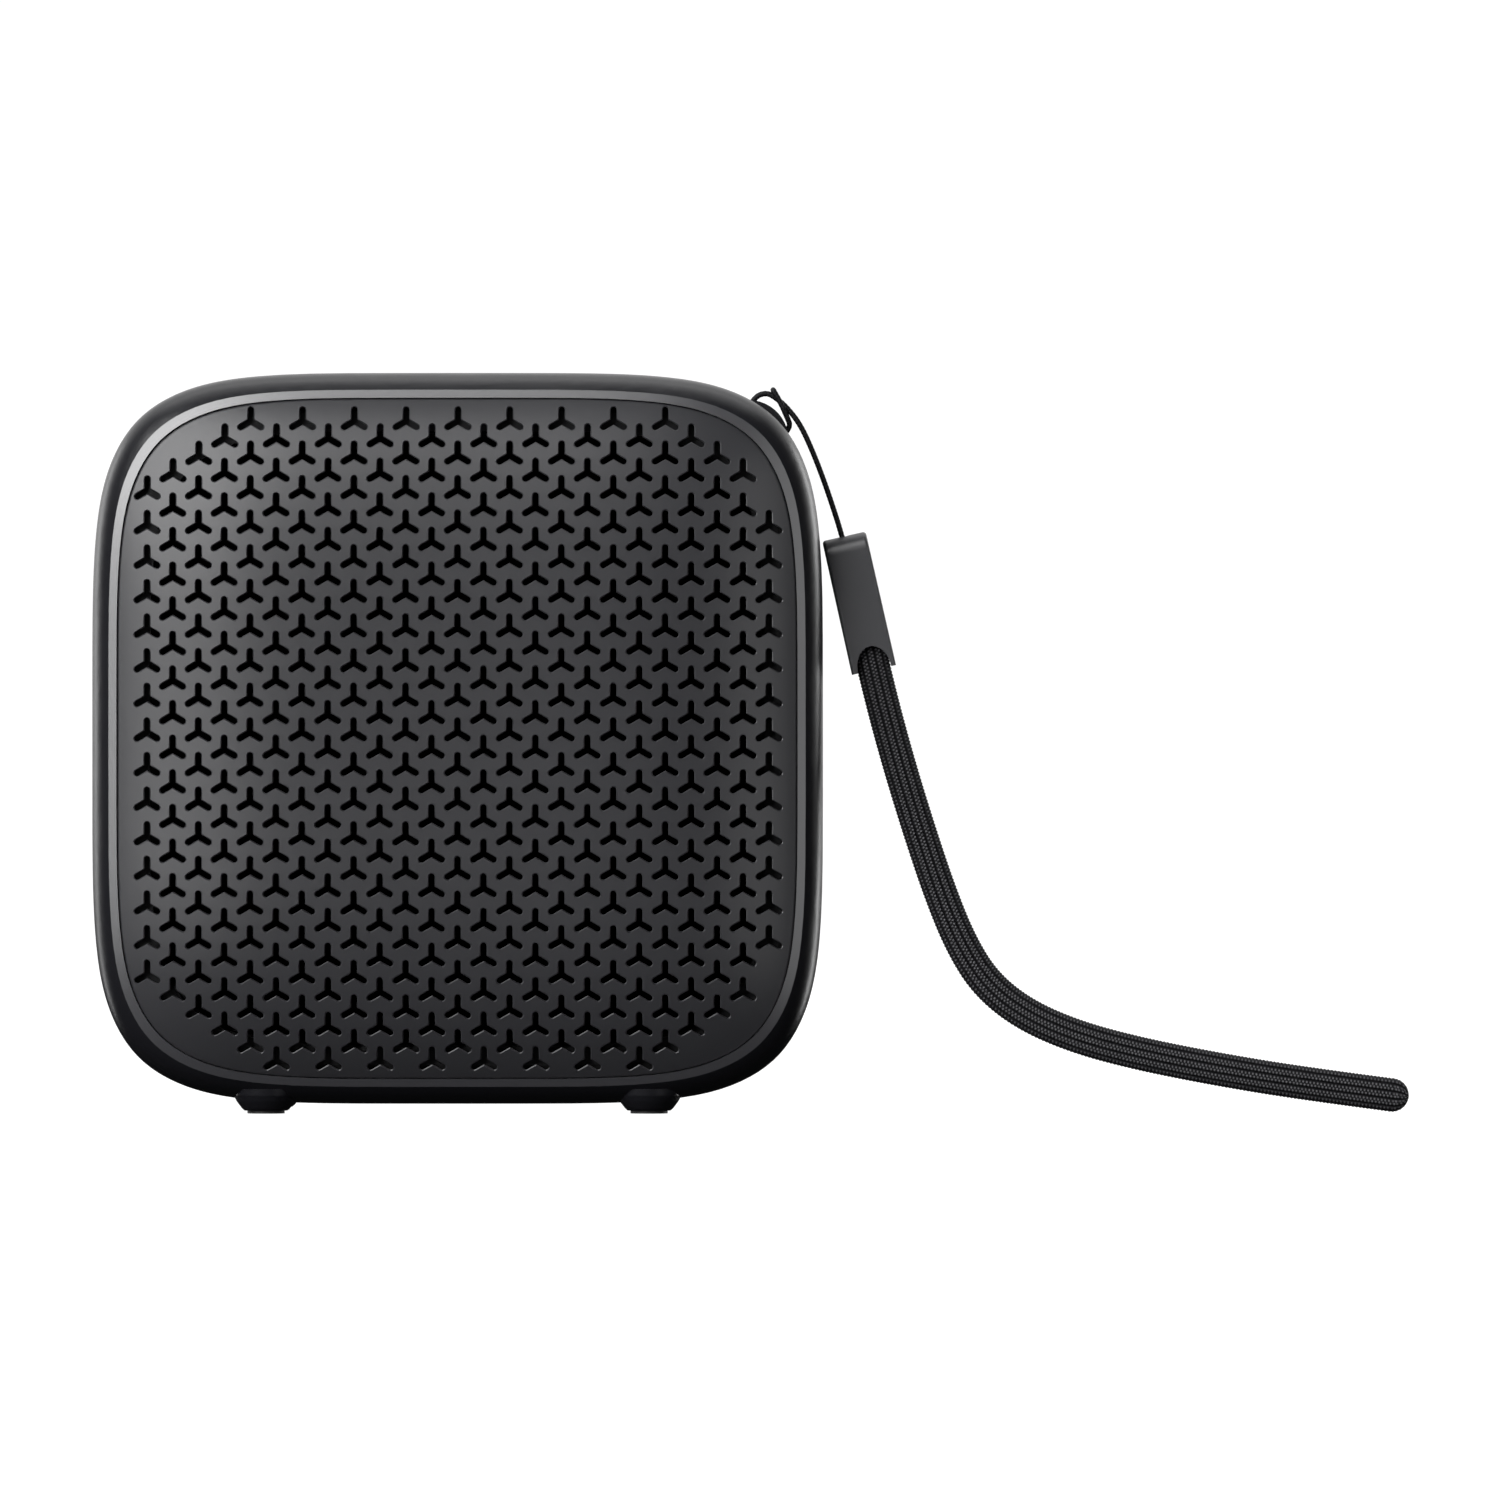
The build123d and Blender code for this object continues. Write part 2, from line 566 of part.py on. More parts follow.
with BuildPart() as usb_c_socket:
    with BuildSketch(Plane.YZ.offset(BOARD_X + BOARD_THICK)) as can:
        with Locations((PORT_Y, PORT_Z)):
            SlotOverall(8.94, 3.26, rotation=90)
    extrude(to_extrude=can.sketch, amount=8.4)
    with BuildSketch(Plane.YZ.offset(41.5)) as inside:
        with Locations((PORT_Y, PORT_Z)):
            SlotOverall(8.34, 2.66, rotation=90)
            Rectangle(0.7, 6.7, mode=Mode.SUBTRACT)
    extrude(to_extrude=inside.sketch, amount=7, mode=Mode.SUBTRACT)
    with BuildSketch(Plane.YZ.offset(46.4)) as mouth:
        with Locations((PORT_Y, PORT_Z)):
            SlotOverall(8.34, 2.66, rotation=90)
    extrude(to_extrude=mouth.sketch, amount=2, mode=Mode.SUBTRACT)
save(usb_c_socket, "usb_c_socket")

with BuildPart() as main_board_screws:
    seats = [
        Plane(origin=(BOARD_X, BOARD_BOSS_Y, boss_z), x_dir=(0, 1, 0), z_dir=(-1, 0, 0))
        for boss_z in BOARD_BOSS_Z
    ]
    screws(seats, 1.7, 1.1, BOARD_SCREW, 4.2)
save(main_board_screws, "main_board_screws")

with BuildPart() as battery_cell:
    with BuildSketch(Plane.YZ.offset(-CELL_LENGTH / 2)):
        with Locations((CELL_Y, CELL_Z)):
            Circle(CELL_RADIUS)
    extrude(amount=CELL_LENGTH)
save(battery_cell, "battery_cell")

with BuildPart() as battery_holder:
    with Locations((0, CELL_Y, CELL_Z)):
        Box(66.9, 21.4, 10.9, align=(Align.CENTER, Align.CENTER, Align.MAX))
    with BuildSketch(Plane.YZ.offset(-CELL_LENGTH / 2 - 0.1)) as trough:
        with Locations((CELL_Y, CELL_Z)):
            Circle(CELL_RADIUS + 0.1)
    extrude(to_extrude=trough.sketch, amount=CELL_LENGTH + 0.2, mode=Mode.SUBTRACT)
    prism(CAVITY_HALF - 0.1, -LEDGE_Y, LEDGE_Y, mode=Mode.INTERSECT)
    for side_x in (-1, 1):
        disc(POST_RADIUS + 0.2, -LEDGE_Y, LEDGE_Y, mode=Mode.SUBTRACT, x=side_x * POST_AT, z=-POST_AT)
save(battery_holder, "battery_holder")

with BuildPart() as button_board:
    with BuildSketch(Plane.XY.offset(BUTTON_BOARD_Z)):
        with Locations((0, -1)):
            RectangleRounded(52, 16, 1.5)
        with Locations((-BUTTON_PITCH, BOSS_Y), (BUTTON_PITCH, BOSS_Y)):
            Circle(BOARD_SCREW + 0.2, mode=Mode.SUBTRACT)
    extrude(amount=BUTTON_BOARD_TOP - BUTTON_BOARD_Z)
save(button_board, "button_board")

with BuildPart() as button_board_screws:
    seats = [
        Plane(origin=(boss_x, BOSS_Y, BUTTON_BOARD_Z), x_dir=(1, 0, 0), z_dir=(0, 0, -1))
        for boss_x in (-BUTTON_PITCH, BUTTON_PITCH)
    ]
    screws(seats, 1.7, 1.1, BOARD_SCREW, 3.8)
save(button_board_screws, "button_board_screws")

with BuildPart() as tact_switches:
    with Locations(*[(x, 0, BUTTON_BOARD_TOP) for x in BUTTON_X]):
        Box(4.5, 4.5, 0.6, align=(Align.CENTER, Align.CENTER, Align.MIN))
        Cylinder(1.1, SWITCH_TOP_Z - BUTTON_BOARD_TOP, align=(Align.CENTER, Align.CENTER, Align.MIN))
save(tact_switches, "tact_switches")

with BuildPart() as status_led:
    with Locations((0, LIGHT_Y, BUTTON_BOARD_TOP)):
        Box(1.6, 0.8, 0.6, align=(Align.CENTER, Align.CENTER, Align.MIN))
save(status_led, "status_led")

with BuildPart() as light_pipe:
    with Locations((0, LIGHT_Y, 96.3)):
        Cylinder(LIGHT_RADIUS, 8, align=(Align.CENTER, Align.CENTER, Align.MIN))
        Cylinder(1.5, 2.4, align=(Align.CENTER, Align.CENTER, Align.MIN))
    add(body_form.part, mode=Mode.INTERSECT)
save(light_pipe, "light_pipe")

# ---------------------------------------------------------------- buttons
ICON_STROKE = 0.55
with BuildSketch() as minus_icon:
    Rectangle(3.0, ICON_STROKE)
with BuildSketch() as plus_icon:
    Rectangle(3.0, ICON_STROKE)
    Rectangle(ICON_STROKE, 3.0)
with BuildSketch() as play_icon:
    with BuildLine():
        Polyline((-1.0, -1.4), (1.5, 0), (-1.0, 1.4), close=True)
    make_face()
with BuildSketch() as power_icon:
    Circle(1.5)
    Circle(1.5 - ICON_STROKE, mode=Mode.SUBTRACT)
    with Locations((0, 1.3)):
        Rectangle(1.5, 1.4, mode=Mode.SUBTRACT)
        Rectangle(ICON_STROKE, 1.8)

BUTTON_ICONS = {"power": power_icon, "minus": minus_icon, "play": play_icon, "plus": plus_icon}
for button_x, (button_name, icon) in zip(BUTTON_X, BUTTON_ICONS.items()):
    with BuildPart() as button:
        with Locations((button_x, 0, FLANGE_UNDER_Z)):
            Cylinder(BUTTON_RADIUS, 8, align=(Align.CENTER, Align.CENTER, Align.MIN))
            flange_height = FLANGE_TOP_Z - FLANGE_UNDER_Z
            Cylinder(BUTTON_FLANGE, flange_height, align=(Align.CENTER, Align.CENTER, Align.MIN))
        with Locations((button_x, 0, STEM_END_Z)):
            Cylinder(1.2, FLANGE_UNDER_Z - STEM_END_Z, align=(Align.CENTER, Align.CENTER, Align.MIN))
        add(body_form.part, mode=Mode.INTERSECT)
        with BuildSketch(Plane.XY.offset(MID_Z + BODY_HALF - ICON_DEPTH)) as mark:
            with Locations((button_x, 0)):
                add(icon.sketch)
        extrude(to_extrude=mark.sketch, amount=2, mode=Mode.SUBTRACT)
    save(button, f"{button_name}_button")

# ---------------------------------------------------------------- rubber cover of the socket
with BuildPart() as port_cover:
    with BuildSketch(Plane.YZ.offset(FLAP_BACK_X)) as flap:
        with Locations((PORT_Y, (FLAP_LOW_Z + HINGE_Z) / 2)):
            RectangleRounded(FLAP_WIDTH - 2 * FLAP_GAP, HINGE_Z - FLAP_LOW_Z - FLAP_GAP, FLAP_CORNER)
    extrude(to_extrude=flap.sketch, amount=3)
    add(body_form.part, mode=Mode.INTERSECT)
    with BuildSketch(Plane.YZ.offset(FLAP_BACK_X)) as pad:
        with Locations((PORT_Y, PORT_Z)):
            SlotOverall(8.4, 3.0, rotation=90)
    extrude(to_extrude=pad.sketch, amount=-0.45)
save(port_cover, "port_cover")

with BuildPart() as port_cover_tab:
    with BuildSketch(Plane.YZ.offset(FLAP_BACK_X)) as tab:
        with Locations((PORT_Y, TAB_Z)):
            RectangleRounded(FLAP_WIDTH - 2 * FLAP_GAP, 1.9, 0.7)
    extrude(to_extrude=tab.sketch, amount=3)
    add(body_form.part, mode=Mode.INTERSECT)
    for radius, x_from, x_to in ((1.0, 47.2, FLAP_BACK_X), (1.7, 46.6, 47.6)):
        with BuildSketch(Plane.YZ.offset(x_from)) as stem:
            with Locations((PORT_Y, TAB_Z)):
                Circle(radius)
        extrude(to_extrude=stem.sketch, amount=x_to - x_from)
save(port_cover_tab, "port_cover_tab")

# ---------------------------------------------------------------- foot pads
for end_name, side_y in (("front", -1), ("rear", 1)):
    for side_name, side_x in (("left", -1), ("right", 1)):
        with BuildPart() as foot_pad:
            with Locations((side_x * FOOT_X, side_y * FOOT_Y, 0)):
                Cylinder(PAD_RADIUS, PAD_HEIGHT, align=(Align.CENTER, Align.CENTER, Align.MIN))
        save(foot_pad, f"foot_pad_{end_name}_{side_name}")

# ---------------------------------------------------------------- wrist strap
clip_turn = radians(CLIP_TILT)
CLIP_ORIGIN = (CLIP_CENTRE[0], STRAP_Y, CLIP_CENTRE[1])
CLIP_FACE = Plane(origin=CLIP_ORIGIN, x_dir=(cos(clip_turn), 0, sin(clip_turn)), z_dir=(0, -1, 0))
CLIP_SIDE = Plane(origin=CLIP_ORIGIN, x_dir=(0, 1, 0), z_dir=(cos(clip_turn), 0, sin(clip_turn)))
CLIP_ACROSS = Plane(origin=CLIP_ORIGIN, x_dir=(0, 1, 0), z_dir=(-sin(clip_turn), 0, cos(clip_turn)))

with BuildPart() as strap_clip:
    with BuildSketch(CLIP_FACE) as front:
        with BuildLine():
            Polyline(
                (-CLIP_TOP_WIDTH / 2, CLIP_LENGTH / 2), (CLIP_TOP_WIDTH / 2, CLIP_LENGTH / 2),
                (CLIP_LOW_WIDTH / 2, -CLIP_LENGTH / 2), (-CLIP_LOW_WIDTH / 2, -CLIP_LENGTH / 2), close=True,
            )
        make_face()
    extrude(to_extrude=front.sketch, amount=CLIP_THICK, both=True)
    with BuildSketch(CLIP_SIDE) as side:
        with BuildLine():
            half_depth = CLIP_THICK / 2
            half_length = CLIP_LENGTH / 2
            crown_side = half_depth - CLIP_CROWN
            crown_low = half_length - CLIP_CROWN
            Polyline(
                (-half_depth, crown_low), (-half_depth, -half_length),
                (half_depth, -half_length), (half_depth, crown_low),
            )
            RadiusArc((half_depth, crown_low), (crown_side, half_length), -CLIP_CROWN)
            Line((crown_side, half_length), (-crown_side, half_length))
            RadiusArc((-crown_side, half_length), (-half_depth, crown_low), -CLIP_CROWN)
        make_face()
    extrude(to_extrude=side.sketch, amount=CLIP_LOW_WIDTH, both=True, mode=Mode.INTERSECT)
    fillet(strap_clip.edges().filter_by(lambda edge: edge.length > CLIP_LENGTH / 2), CLIP_ROUND)
    with BuildSketch(CLIP_ACROSS.offset(-CLIP_LENGTH / 2)) as pocket:
        RectangleRounded(BAND_THICK + 0.5, BAND_WIDTH + 0.3, BAND_ROUND)
    extrude(to_extrude=pocket.sketch, amount=CLIP_LENGTH / 2 + CRIMP_TOP, mode=Mode.SUBTRACT)
    with BuildSketch(CLIP_ACROSS) as string_hole:
        Circle(STRING_HOLE_RADIUS)
    extrude(to_extrude=string_hole.sketch, amount=CLIP_LENGTH, mode=Mode.SUBTRACT)
    with BuildSketch(CLIP_FACE) as arch:
        with Locations((0.1, -CLIP_LENGTH / 2)):
            Ellipse(BAND_WIDTH / 2 + 0.05, ARCH_HEIGHT)
    extrude(to_extrude=arch.sketch, amount=CLIP_THICK, both=True, mode=Mode.SUBTRACT)
save(strap_clip, "strap_clip")

with BuildPart() as strap_crimp:
    with BuildSketch(CLIP_ACROSS.offset(CRIMP_LOW)):
        RectangleRounded(BAND_THICK + 0.3, BAND_WIDTH + 0.1, 0.8)
    extrude(amount=CRIMP_TOP - CRIMP_LOW)
save(strap_crimp, "strap_crimp")

string_points = [(x, STRAP_Y + aside, z) for (x, z), aside in zip(STRING_ROUTE, STRING_ASIDE)]
with BuildPart() as strap_string:
    with BuildLine() as string_path:
        FilletPolyline(*string_points, radius=corner_radii(string_points))
    with BuildSketch(Plane(origin=string_path.line @ 0, z_dir=string_path.line % 0)):
        Circle(STRING_DIAMETER / 2)
    sweep(path=string_path.line)
save(strap_string, "strap_string")

band_points = [(x, STRAP_Y, z) for x, z in BAND_ROUTE]
with BuildPart() as strap_band:
    with BuildLine() as band_path:
        FilletPolyline(*band_points, radius=corner_radii(band_points))
    band_start = Plane(origin=band_path.line @ 0, x_dir=(0, 1, 0), z_dir=band_path.line % 0)
    with BuildSketch(band_start) as band_section:
        RectangleRounded(BAND_THICK, BAND_WIDTH, BAND_ROUND)
    sweep(path=band_path.line)
    swept_volume = strap_band.part.volume
    with BuildSketch(Plane.XZ.offset(-STRAP_Y - BAND_THICK / 2)) as band_tip:
        with Locations(BAND_ROUTE[-1]):
            Circle(BAND_WIDTH / 2 - 0.02)
    extrude(to_extrude=band_tip.sketch, amount=BAND_THICK)
save(strap_band, "strap_band")

string_area = pi * STRING_DIAMETER ** 2 / 4
for cord_name, points, path, volume, area in (
    ("strap_string", string_points, string_path, strap_string.part.volume, string_area),
    ("strap_band", band_points, band_path, swept_volume, band_section.sketch.area),
):
    length = path.wires()[0].length
    print(cord_name, "radii", [round(radius, 2) for radius in corner_radii(points)])
    print(cord_name, "length", round(length, 2), "volume", round(volume, 2), "of", round(area * length, 2))
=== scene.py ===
import json
from math import atan2, ceil, cos, degrees, hypot, pi, radians, sin, sqrt

import bpy
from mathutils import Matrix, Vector


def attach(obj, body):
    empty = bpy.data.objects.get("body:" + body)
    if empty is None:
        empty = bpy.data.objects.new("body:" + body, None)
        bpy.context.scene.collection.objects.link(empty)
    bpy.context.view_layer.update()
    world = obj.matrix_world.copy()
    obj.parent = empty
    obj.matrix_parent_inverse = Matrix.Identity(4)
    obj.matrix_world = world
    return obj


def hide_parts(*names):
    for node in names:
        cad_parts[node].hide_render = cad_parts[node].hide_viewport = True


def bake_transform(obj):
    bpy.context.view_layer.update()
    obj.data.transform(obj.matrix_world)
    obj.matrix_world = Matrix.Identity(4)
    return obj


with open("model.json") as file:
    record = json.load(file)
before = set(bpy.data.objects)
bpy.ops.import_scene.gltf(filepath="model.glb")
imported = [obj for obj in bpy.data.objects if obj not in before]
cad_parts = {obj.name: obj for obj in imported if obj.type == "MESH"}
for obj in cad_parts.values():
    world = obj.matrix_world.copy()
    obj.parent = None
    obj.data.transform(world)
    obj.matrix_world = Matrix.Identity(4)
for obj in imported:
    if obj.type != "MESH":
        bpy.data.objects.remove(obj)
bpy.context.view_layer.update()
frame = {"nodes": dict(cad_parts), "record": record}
MM = 0.001

# ---- body, panel and slot sizes, in millimetres
MID_Z = 51.3
EXPONENT = 5.1
PANEL_HALF = 46.42
PANEL_FACE_Y = 23.0
PANEL_EDGE_Y = 15.6
PANEL_RISE = 5.5
PANEL_POWER = 5
INNER_HALF = 44.7
INNER_FACE_Y = 21.3
INNER_SPHERE = 286.0
PANEL_TURN = 46.1
BAND_Y = 17.4
PLASTIC_IOR = 1.45
BAND_IOR = 1.87
BAND_COLOUR = (0.036, 0.036, 0.040)
SLOT_ARM = 2.0
SLOT_HALF_WIDTH = 0.4
SLOT_CHAMFER = 0.13
SLOT_DEPTH = 4.0
SLOT_OUTSIDE = 1.5
COLUMN_PITCH = 3.536
SLOT_PITCH = 4.719
SLOTS_SHIFT_X = 0.18
TOP_SLOT_Z = 43.25
COLUMN_SLOTS = (15, 16, 17, 18) + (19,) * 17 + (18, 17, 16, 13)
COLUMN_SKIPS = (2, 1, 1, 0) + (0,) * 17 + (0, 1, 1, 3)

# ---- wrist strap
STRAP_Y = -5.0
STRING_ROUTE = (
    (54.22, 73.07), (52.6, 79.2), (51.4, 83.0), (50.1, 86.8), (48.6, 90.7), (46.9, 94.4), (45.0, 96.8),
    (43.4, 98.15), (42.2, 98.75), (40.6, 98.15), (38.95, 95.0), (42.5, 91.5), (45.75, 93.8), (44.9, 95.8),
    (44.25, 97.3), (43.3, 98.9),
)
STRING_ASIDE = (0,) * 11 + (-0.1, -0.4, -0.85, -0.85, -0.85)
STRAND_RADIUS = 0.36
BAND_ROUTE = (
    (55.1, 69.17), (57.2, 59.85), (60.0, 49.2), (63.2, 38.7), (66.3, 29.5), (69.1, 22.8), (72.4, 17.6),
    (77.5, 13.5), (84.5, 10.4), (93.0, 8.1), (103.5, 6.0), (115.5, 4.0), (128.1, 2.36),
)
BAND_WIDTH = 4.6
BAND_THICK = 2.6
RIB_PITCH = 1.03
STITCH_PITCH = 0.5


# ---------------------------------------------------------------- camera and light, in metres
CAMERA_X = 0.0400
CAMERA_Z = 0.0497
CAMERA_AWAY = 2.4
FRAME_WIDTH = 0.20475
BODY_FACE = 0.0178
SENSOR_WIDTH = 36.0

camera_data = bpy.data.cameras.new("camera")
camera_data.sensor_width = SENSOR_WIDTH
camera_data.lens = SENSOR_WIDTH * (CAMERA_AWAY - BODY_FACE) / FRAME_WIDTH
camera_data.clip_start = 0.05
camera_data.clip_end = 20.0
camera = bpy.data.objects.new("camera", camera_data)
camera.location = (CAMERA_X, -CAMERA_AWAY, CAMERA_Z)
camera.rotation_euler = (radians(90), 0, 0)
bpy.context.scene.collection.objects.link(camera)
bpy.context.scene.camera = camera


def area_light(name, place, target, width, height, power):
    """White softbox at place, facing target, with its power in watts."""
    data = bpy.data.lights.new(name, "AREA")
    data.shape = "RECTANGLE"
    data.size = width
    data.size_y = height
    data.energy = power
    lamp = bpy.data.objects.new(name, data)
    lamp.location = place
    lamp.rotation_euler = (Vector(target) - Vector(place)).to_track_quat("-Z", "Y").to_euler()
    bpy.context.scene.collection.objects.link(lamp)


MIDDLE = (0.0, 0.0, 0.05)
area_light("key", (-0.66, -0.86, 0.62), MIDDLE, 1.2, 1.2, 31)
area_light("fill_right", (0.80, -0.90, 0.22), MIDDLE, 0.6, 0.9, 2.4)
area_light("side_left", (-0.9, 0.75, 0.12), MIDDLE, 0.3, 0.9, 2.0)
area_light("side_right", (0.9, 0.75, 0.12), MIDDLE, 0.3, 0.9, 3.5)
area_light("top_back", (0.0, 0.35, 1.2), (0.0, 0.35, 0.0), 1.6, 0.7, 4)

world = bpy.data.worlds.new("studio")
world.use_nodes = True
world.node_tree.nodes["Background"].inputs["Color"].default_value = (1.0, 1.0, 1.0, 1)
world.node_tree.nodes["Background"].inputs["Strength"].default_value = 0.01
bpy.context.scene.world = world
bpy.context.scene.view_settings.view_transform = "Standard"


# ---------------------------------------------------------------- mesh helpers
def new_object(name, points, faces, smooth=True):
    """Mesh object from points in millimetres."""
    mesh = bpy.data.meshes.new(name)
    mesh.from_pydata([(x * MM, y * MM, z * MM) for x, y, z in points], [], faces)
    mesh.validate()
    if smooth:
        mesh.shade_smooth()
    obj = bpy.data.objects.new(name, mesh)
    bpy.context.scene.collection.objects.link(obj)
    return obj


def outline(half, count):
    """Points of the superellipse of the given half-size, about the middle of the body."""
    points = []
    for step in range(count):
        angle = 2 * pi * step / count
        norm = abs(cos(angle)) ** EXPONENT + abs(sin(angle)) ** EXPONENT
        radius = half / norm ** (1 / EXPONENT)
        points.append((radius * cos(angle), radius * sin(angle)))
    return points


def level(x, z):
    """Half-size of the superellipse through a point; z is counted from the middle of the body."""
    return (abs(x) ** EXPONENT + abs(z) ** EXPONENT) ** (1 / EXPONENT)


def panel_y(x, z):
    """Depth of the front panel's outer face."""
    return -PANEL_FACE_Y + PANEL_RISE * (level(x, z) / PANEL_HALF) ** PANEL_POWER


def panel_normal(x, z):
    """Outward normal of the front panel's outer face."""
    size = max(level(x, z), 1e-6)
    steep = PANEL_RISE * PANEL_POWER * size ** (PANEL_POWER - 1) / PANEL_HALF ** PANEL_POWER
    lean_x = steep * (abs(x) / size) ** (EXPONENT - 1) * (1 if x > 0 else -1)
    lean_z = steep * (abs(z) / size) ** (EXPONENT - 1) * (1 if z > 0 else -1)
    return Vector((lean_x, -1.0, lean_z)).normalized()


def bridge(rings):
    """Quads between closed rings of equal length; rings are lists of point numbers."""
    faces = []
    for ring, following in zip(rings, rings[1:]):
        count = len(ring)
        for i in range(count):
            j = (i + 1) % count
            faces.append((ring[i], ring[j], following[j], following[i]))
    return faces


# ---------------------------------------------------------------- front grille with its slots
AROUND = 256
FACE_RINGS = 46
FACE_LAST = 45.8
FACE_SIZES = [PANEL_HALF * (i / FACE_RINGS) ** 0.8 for i in range(1, FACE_RINGS)]
EDGE_STEPS = ((46.15, 0.0), (46.32, 0.03), (46.42, 0.14))
HOLLOW_SIZES = (INNER_HALF, 40, 33, 25, 16, 8)


def plate():
    """Closed mesh of the front panel without slots."""
    points = [(0, -PANEL_FACE_Y, MID_Z)]
    rings = []

    def add_ring(half, depth_at):
        """One ring of the given half-size, at the depth that depth_at gives for each point."""
        start = len(points)
        for x, z in outline(half, AROUND):
            points.append((x, depth_at(x, z), z + MID_Z))
        rings.append(list(range(start, start + AROUND)))

    for size in FACE_SIZES:
        if size < FACE_LAST:
            add_ring(size, panel_y)
    for size, drop in EDGE_STEPS:
        add_ring(size, lambda x, z, drop=drop: panel_y(x, z) + drop)
    add_ring(PANEL_HALF, lambda x, z: -PANEL_EDGE_Y)
    add_ring(INNER_HALF, lambda x, z: -PANEL_EDGE_Y)

    def hollow_y(x, z):
        """Depth of the panel's inner face."""
        return -INNER_FACE_Y + INNER_SPHERE - sqrt(INNER_SPHERE ** 2 - x * x - z * z)

    for size in HOLLOW_SIZES:
        add_ring(size, hollow_y)
    points.append((0, -INNER_FACE_Y, MID_Z))
    faces = bridge(rings)
    last = len(points) - 1
    for i in range(AROUND):
        j = (i + 1) % AROUND
        faces.append((0, rings[0][j], rings[0][i]))
        faces.append((last, rings[-1][i], rings[-1][j]))
    return new_object("grille_front", points, [face[::-1] for face in faces])


def star(half_width, arm):
    """Outline of a slot with three round-ended arms."""
    points = []
    for heading in (90, 210, 330):
        turn = radians(heading)
        crotch = half_width / sin(radians(60)) * cos(radians(60))
        side = [(crotch, -half_width)]
        for step in range(7):
            angle = radians(-90 + 30 * step)
            side.append((arm - half_width + half_width * cos(angle), half_width * sin(angle)))
        for along, aside in side:
            points.append((along * cos(turn) - aside * sin(turn), along * sin(turn) + aside * cos(turn)))
    return points


def slot_centres():
    """Centres of all the slots, in staggered columns."""
    centres = []
    for column, (count, skipped) in enumerate(zip(COLUMN_SLOTS, COLUMN_SKIPS)):
        x = SLOTS_SHIFT_X + COLUMN_PITCH * (column - (len(COLUMN_SLOTS) - 1) / 2)
        top = TOP_SLOT_Z - SLOT_PITCH / 2 * (column % 2)
        for row in range(skipped, skipped + count):
            centres.append((x, top - SLOT_PITCH * row))
    return centres


def slot_cutters():
    """Closed cutter for every slot, flared where it meets the panel's face."""
    inner = star(SLOT_HALF_WIDTH, SLOT_ARM)
    flared = star(SLOT_HALF_WIDTH + 2 * SLOT_CHAMFER, SLOT_ARM + 2 * SLOT_CHAMFER)
    levels = ((flared, -SLOT_OUTSIDE), (flared, -SLOT_CHAMFER), (inner, SLOT_CHAMFER), (inner, SLOT_DEPTH))
    points = []
    faces = []
    count = len(inner)
    for centre_x, centre_z in slot_centres():
        rings = []
        for shape, depth in levels:
            start = len(points)
            for x, z in shape:
                at_x = centre_x + x
                at_z = centre_z + z
                points.append((at_x, panel_y(at_x, at_z) + depth, at_z + MID_Z))
            rings.append(list(range(start, start + count)))
        faces += bridge(rings)
        faces.append(tuple(reversed(rings[0])))
        faces.append(tuple(rings[-1]))
    return new_object("slot_cutters", points, [face[::-1] for face in faces], smooth=False)


def cut(target, tool):
    """Boolean difference, applied; the tool is removed."""
    modifier = target.modifiers.new("slots", "BOOLEAN")
    modifier.operation = "DIFFERENCE"
    modifier.solver = "MANIFOLD"
    modifier.object = tool
    depsgraph = bpy.context.evaluated_depsgraph_get()
    mesh = bpy.data.meshes.new_from_object(target.evaluated_get(depsgraph))
    target.modifiers.clear()
    target.data = mesh
    bpy.data.objects.remove(tool)


grille = plate()
cut(grille, slot_cutters())


def is_on_face(x, y, z):
    """Whether a point lies on the panel's outer face, inside its rounded edge."""
    return abs(y - panel_y(x, z)) < 0.02 and level(x, z) < PANEL_TURN


def smooth_panel(obj):
    """True normals on the panel's face, and plain ones on the slots' walls."""
    mesh = obj.data
    normals = []
    for polygon in mesh.polygons:
        corners = [mesh.vertices[v].co / MM for v in polygon.vertices]
        on_face = all(is_on_face(corner.x, corner.y, corner.z - MID_Z) for corner in corners)
        for corner in corners:
            if on_face:
                normals.append(panel_normal(corner.x, corner.z - MID_Z))
            else:
                normals.append(polygon.normal.copy())
    mesh.shade_smooth()
    mesh.normals_split_custom_set(normals)


smooth_panel(grille)
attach(grille, "speaker")
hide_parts("front_grille")


# ---------------------------------------------------------------- paths of the cords
def route_curve(name, route):
    """Open smooth curve along a cord's route."""
    data = bpy.data.curves.new(name, "CURVE")
    data.dimensions = "3D"
    data.resolution_u = 24
    spline = data.splines.new("NURBS")
    spline.points.add(len(route) - 1)
    for point, place in zip(spline.points, route):
        point.co = (place[0] * MM, place[1] * MM, place[2] * MM, 1)
    spline.order_u = 3
    spline.use_endpoint_u = True
    return data


def path_points(name, route):
    """Points along a route's smooth curve, in millimetres."""
    curve_object = bpy.data.objects.new(name, route_curve(name, route))
    mesh = bpy.data.meshes.new_from_object(curve_object)
    points = [vertex.co / MM for vertex in mesh.vertices]
    bpy.data.objects.remove(curve_object)
    return points


def spaced(points, gap):
    """The same line at equal gaps."""
    lengths = [0.0]
    for before, after in zip(points, points[1:]):
        lengths.append(lengths[-1] + (after - before).length)
    count = max(2, int(lengths[-1] / gap))
    result = []
    segment = 0
    for step in range(count + 1):
        at = lengths[-1] * step / count
        while segment < len(points) - 2 and lengths[segment + 1] < at:
            segment += 1
        span = max(lengths[segment + 1] - lengths[segment], 1e-9)
        result.append(points[segment].lerp(points[segment + 1], (at - lengths[segment]) / span))
    return result, lengths[-1]


